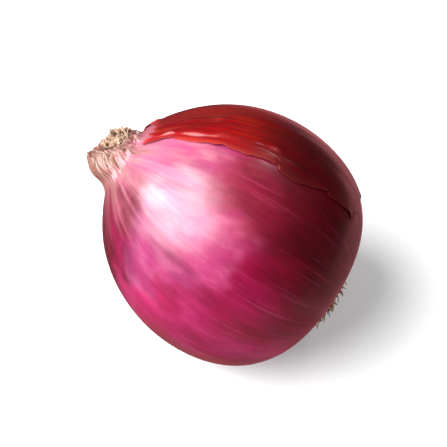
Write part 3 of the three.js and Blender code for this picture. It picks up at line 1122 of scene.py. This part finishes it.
# %% Fresh skin material
def fresh_skin():
    material, tree, shader = new_material(
        "fresh_pink_skin", IOR=1.45, Specular_IOR_Level=0.3, Coat_IOR=1.6, Coat_Roughness=0.26,
        Subsurface_Weight=0.06, Subsurface_Scale=1.0 * MM, Subsurface_Radius=(1.0, 0.2, 0.3),
    )
    height = group_node(tree, HEIGHT)
    veins = group_node(tree, STREAKS, 24, 0.07, 31, 3, 0.5, 0.75)
    pale = group_node(tree, STREAKS, 40, 0.09, 47, 2, 0.55, 0.8)
    wander = group_node(tree, STREAKS, 9, 0.05, 61, 3, 0.2, 0.8)
    film = group_node(tree, STREAKS, 4, 0.2, 83, 4, 0.35, 0.62)
    colour = body_colour(tree, veins, pale)
    colour, on_neck = fade_to_neck(tree, colour, height, wander)
    colour = fade_to_root(tree, colour, height, wander)
    tree.links.new(colour, shader.inputs["Base Color"])
    dull = plus(tree, times(tree, on_neck, 0.3), times(tree, veins, 0.05))
    tree.links.new(plus(tree, dull, 0.36), shader.inputs["Roughness"])
    tree.links.new(plus(tree, 0.45, times(tree, film, 0.55)), shader.inputs["Coat Weight"])
    rise = math_node(tree, "SUBTRACT", times(tree, pale, 0.5), veins)
    raise_lines(tree, shader, rise, 0.35, 0.02 * MM)
    return material


# %% [markdown]
# ## The dry skin
# The dry skin is a darker, warmer red with orange streaks, brown blotches and close parallel
# lines. Along its torn edges it is thin and paler. On the side away from the softbox it is painted
# nearly black, as painted shade. On a crease it is stretched, so it is paler there and shines
# more, and the paler colour also paints a warm tint on the glints there.

# %% Dry skin material
DRY_RED, DRY_DARK, DRY_ORANGE = (0.28, 0.002, 0.003), (0.17, 0.001, 0.003), (0.37, 0.017, 0.004)
DRY_BROWN, DRY_LINE, DRY_PALE_LINE = (0.16, 0.012, 0.004), (0.1, 0.002, 0.006), (0.62, 0.1, 0.08)
# Torn edges, then the painted shade of the side away from the softbox.
THIN_RED, TORN_RED, PAINTED_SHADE_RED = (0.46, 0.03, 0.03), (0.5, 0.13, 0.08), (0.04, 0.0006, 0.002)
# Paler where stretched on a crease, and a painted warm tint for the glints there.
STRETCHED_AND_GLINT_RED = (0.5, 0.05, 0.04)


def dry_skin_material():
    material, tree, shader = new_material(
        "dry_red_skin", IOR=1.45, Specular_IOR_Level=0.25, Coat_Roughness=0.2,
        Subsurface_Weight=0.04, Subsurface_Scale=0.5 * MM,
    )
    broad = group_node(tree, STREAKS, 3, 0.08, 105, 2, 0.4, 0.6)
    orange = group_node(tree, STREAKS, 6, 0.1, 119, 3, 0.5, 0.7)
    browned = group_node(tree, BLOTCHES, 5, 23, 5, 0.48, 0.66)
    # painted shade: the side away from the softbox, darkened nearly to black
    painted_shade_side = group_node(tree, SIDE_PATCH, (0.87, 0.3, 0.4), 0.25, 0.85)
    lines = group_node(tree, STREAKS, 34, 0.05, 131, 3, 0.45, 0.65)
    bright = group_node(tree, STREAKS, 44, 0.08, 143, 2, 0.56, 0.76)
    edge = add(tree, "ShaderNodeAttribute", attribute_name="torn_edge").outputs["Fac"]
    crease = add(tree, "ShaderNodeAttribute", attribute_name="crease").outputs["Fac"]
    # paler where stretched on the crease, which also paints a warm tint on the glints
    stretched_and_glint = map_range(tree, crease, 0.45, 1.1)
    colour = mix_colour(tree, broad, DRY_RED, DRY_DARK)
    for mask, amount, over in (
        (orange, 0.75, DRY_ORANGE),
        (browned, 0.4, DRY_BROWN),
        (lines, 0.5, DRY_LINE),
        (bright, 0.16, DRY_PALE_LINE),
        (map_range(tree, edge, 0.15, 0.8), 0.5, THIN_RED),
        (map_range(tree, edge, 0.82, 1.0), 0.35, TORN_RED),
        (painted_shade_side, 0.86, PAINTED_SHADE_RED),
        (stretched_and_glint, 0.3, STRETCHED_AND_GLINT_RED),
    ):
        colour = layer(tree, colour, mask, amount, over)
    tree.links.new(colour, shader.inputs["Base Color"])
    tree.links.new(plus(tree, 0.6, times(tree, stretched_and_glint, 0.4)), shader.inputs["Coat Weight"])
    tree.links.new(plus(tree, 0.34, times(tree, lines, 0.1)), shader.inputs["Roughness"])
    raise_lines(tree, shader, lines, 0.5, 0.03 * MM)
    return material


# %% [markdown]
# ## The dead tips and the roots
# Both are dead tissue, brown to straw, mottled and dull. The tips are pale at their torn tops
# and darken towards their feet, as painted shade down in the gaps between them, so their colour
# follows the way up the tip.

# %% Materials of the tips and the roots
# The first colour is painted shade, for the gaps between the tips and the plug below them.
TIP_GAP_SHADE, TIP_TOP, TIP_FLECK = (0.06, 0.018, 0.008), (0.62, 0.42, 0.3), (0.16, 0.07, 0.035)
ROOT_BROWN, ROOT_STRAW = (0.22, 0.09, 0.03), (0.55, 0.33, 0.13)
ROOT_FLECK = (0.077, 0.0315, 0.0105)


def dead_tips():
    material, tree, shader = new_material("dead_scale_tips", Roughness=0.7, IOR=1.45)
    up = add(tree, "ShaderNodeAttribute", attribute_name="up_the_tip").outputs["Fac"]
    patches = group_node(tree, BLOTCHES, 0.9, 2, 4, 0.35, 0.65)
    flecks = group_node(tree, BLOTCHES, 0.25, 11, 4, 0.3, 0.7)
    mottled = times(tree, math_node(tree, "SUBTRACT", patches, 0.5), 0.5)
    # painted shade: the lower part of each tip and the plug are darkened
    pale = map_range(tree, plus(tree, up, mottled), 0.38, 0.95)
    colour = layer(tree, mix_colour(tree, pale, TIP_GAP_SHADE, TIP_TOP), flecks, 0.35, TIP_FLECK)
    tree.links.new(colour, shader.inputs["Base Color"])
    raise_lines(tree, shader, flecks, 0.5, 0.05 * MM)
    return material


def dried_roots():
    material, tree, shader = new_material("dried_roots", Roughness=0.8, IOR=1.45)
    patches = group_node(tree, BLOTCHES, 1.6, 6, 4, 0.35, 0.65)
    flecks = group_node(tree, BLOTCHES, 0.4, 15, 4, 0.3, 0.7)
    colour = mix_colour(tree, patches, ROOT_BROWN, ROOT_STRAW)
    tree.links.new(layer(tree, colour, flecks, 0.4, ROOT_FLECK), shader.inputs["Base Color"])
    raise_lines(tree, shader, flecks, 0.6, 0.05 * MM)
    return material


# %% Give each piece its material
finishes = {bulb: fresh_skin(), skin: dry_skin_material(), tips: dead_tips(), brush: dried_roots()}
for piece, material in finishes.items():
    piece.data.materials.clear()
    piece.data.materials.append(material)
print("materials:", [m.name for m in finishes.values()])

# %% [markdown]
# ## Hang each piece on the frame
# The shallot has no moving parts, so all of it rides on one body. Each fine piece hides the
# plain solid that it stands for.

# %% Ride and replace
for piece, node in ((bulb, "bulb"), (skin, "outer_skin"), (tips, "neck_tip"), (brush, "root_tuft")):
    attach(piece, "root")
    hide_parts(node)

# %% [markdown]
# ## Floor, light and camera
# One big softbox from the upper left gives the broad pale highlight and the dark right side. A
# weak low window on the left and a pale room keep the shade from going black, and a small lamp
# behind draws glints along the crease. The floor is pale to the camera, but nearly dark to
# glossy rays, so it leaves no haze on the gloss. To them it has only a red gleam at the right
# and behind, which lights the rim there as other red bulbs near it would.

# %% Floor
FLOOR_WIDTH = 4
FLOOR_COLOUR, FLOOR_BOUNCE = (0.75, 0.75, 0.76), (0.55, 0.42, 0.45)
FLOOR_TO_GLOSS = (0.006, 0.002, 0.003)
FLOOR_OWN_LIGHT = 0.28
GLEAM_COLOUR = (1, 0.28, 0.31)
GLEAM_MIDDLE, GLEAM_SQUEEZE = (28 * MM, 5 * MM, 0), (1, 0.45, 1)
# Distances from the middle, and places behind the bulb, each with the gleam's strength there.
GLEAM_REACH = (65 * MM, 30 * MM, 0.006, 0.36)
GLEAM_BEHIND = (15 * MM, 60 * MM, 1.0, 2.6)


def gleam(tree):
    """How strongly the floor shines to glossy rays, from place to place."""
    place = add(tree, "ShaderNodeTexCoord").outputs["Object"]
    squeezed = add(tree, "ShaderNodeVectorMath", {0: place, 1: GLEAM_SQUEEZE}, operation="MULTIPLY")
    ends = {0: squeezed.outputs["Vector"], 1: GLEAM_MIDDLE}
    away = add(tree, "ShaderNodeVectorMath", ends, operation="DISTANCE").outputs["Value"]
    sideways = add(tree, "ShaderNodeSeparateXYZ", {0: place}).outputs["Y"]
    sheen = map_range(tree, away, *GLEAM_REACH)
    return times(tree, sheen, map_range(tree, sideways, *GLEAM_BEHIND))


def pale_floor():
    floor = new_piece("floor", bpy.ops.mesh.primitive_plane_add,
                      size=FLOOR_WIDTH, location=(0, 0, 0))
    material, tree, shader = new_material("pale_floor", Roughness=0.9)
    rays = add(tree, "ShaderNodeLightPath").outputs
    seen, glossy = rays["Is Camera Ray"], rays["Is Glossy Ray"]
    colour = mix_colour(tree, seen, FLOOR_BOUNCE, FLOOR_COLOUR)
    colour = mix_colour(tree, glossy, colour, FLOOR_TO_GLOSS)
    tree.links.new(colour, shader.inputs["Base Color"])
    glow = mix_colour(tree, glossy, (1, 1, 1), GLEAM_COLOUR)
    tree.links.new(glow, shader.inputs["Emission Color"])
    own_light = plus(tree, times(tree, seen, FLOOR_OWN_LIGHT), times(tree, glossy, gleam(tree)))
    tree.links.new(own_light, shader.inputs["Emission Strength"])
    floor.data.materials.append(material)
    floor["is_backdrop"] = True


pale_floor()

# %% Light
def soft_light(name, towards, distance, width, radiance):
    """A round softbox that faces the bulb. Its power follows from how bright its face is."""
    data = bpy.data.lights.new(name, "AREA")
    data.shape = "DISK"
    data.size = width
    data.energy = radiance * math.pi * math.pi * width ** 2 / 4
    lamp = bpy.data.objects.new(name, data)
    bpy.context.collection.objects.link(lamp)
    direction = Vector(towards).normalized()
    lamp.location = direction * distance + Vector((0, 0, BULB_RADIUS))
    lamp.rotation_euler = direction.to_track_quat("Z", "Y").to_euler()
    lamp.visible_camera = False


# Name, direction that the light comes from, distance and width in metres, brightness.
soft_light("key_softbox", (-0.58, -0.38, 0.72), 0.5, 0.68, 8.0)
soft_light("left_window", (-0.92, 0.22, 0.25), 0.5, 0.36, 0.9)
soft_light("glint", (0.19, 0.65, 0.74), 0.6, 0.05, 30)

# %% The room, and plain colours
ROOM_COLOUR = (0.97, 0.98, 1.0)
ROOM_LIGHT, ROOM_SEEN = 0.22, 0.9
ROOM_HELD_FROM_GLOSS = 0.21

world = bpy.data.worlds.new("pale_room")
world.use_nodes = True
tree = world.node_tree
background = tree.nodes["Background"].inputs
background["Color"].default_value = (*ROOM_COLOUR, 1)
rays = add(tree, "ShaderNodeLightPath").outputs
strength = map_range(tree, rays["Is Camera Ray"], 0.0, 1.0, ROOM_LIGHT, ROOM_SEEN)
held = times(tree, rays["Is Glossy Ray"], ROOM_HELD_FROM_GLOSS)
tree.links.new(math_node(tree, "SUBTRACT", strength, held), background["Strength"])
bpy.context.scene.world = world
bpy.context.scene.view_settings.view_transform = "Standard"

# %% Camera
AZIMUTH = math.radians(20)
ELEVATION = math.radians(50)
LENS_MM = 150
SENSOR_MM = 36
FRAME_WIDTH = 58 * MM


def camera():
    data = bpy.data.cameras.new("camera")
    data.lens, data.sensor_width = LENS_MM, SENSOR_MM
    data.clip_start = 0.01
    eye = bpy.data.objects.new("camera", data)
    bpy.context.collection.objects.link(eye)
    level = math.cos(ELEVATION)
    back = Vector((math.sin(AZIMUTH) * level, -math.cos(AZIMUTH) * level, math.sin(ELEVATION)))
    low, high = solid_box
    centre = (low + high) / 2
    eye.location = centre + back * FRAME_WIDTH * LENS_MM / SENSOR_MM
    eye.rotation_euler = (-back).to_track_quat("-Z", "Y").to_euler()
    bpy.context.scene.camera = eye


camera()

# %% [markdown]
# ## Sizes, and the end
# Both boxes are printed: of the solids, and of the fine pieces. The fine pieces have to
# stay in the space of the solids.

# %% Print the sizes and finish
boxes = {"solids": [list(c) for c in solid_box], "visual": [list(c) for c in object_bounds()]}
for name, (low, high) in boxes.items():
    print(name, "mm:", [round(x / MM, 2) for x in low], [round(x / MM, 2) for x in high])
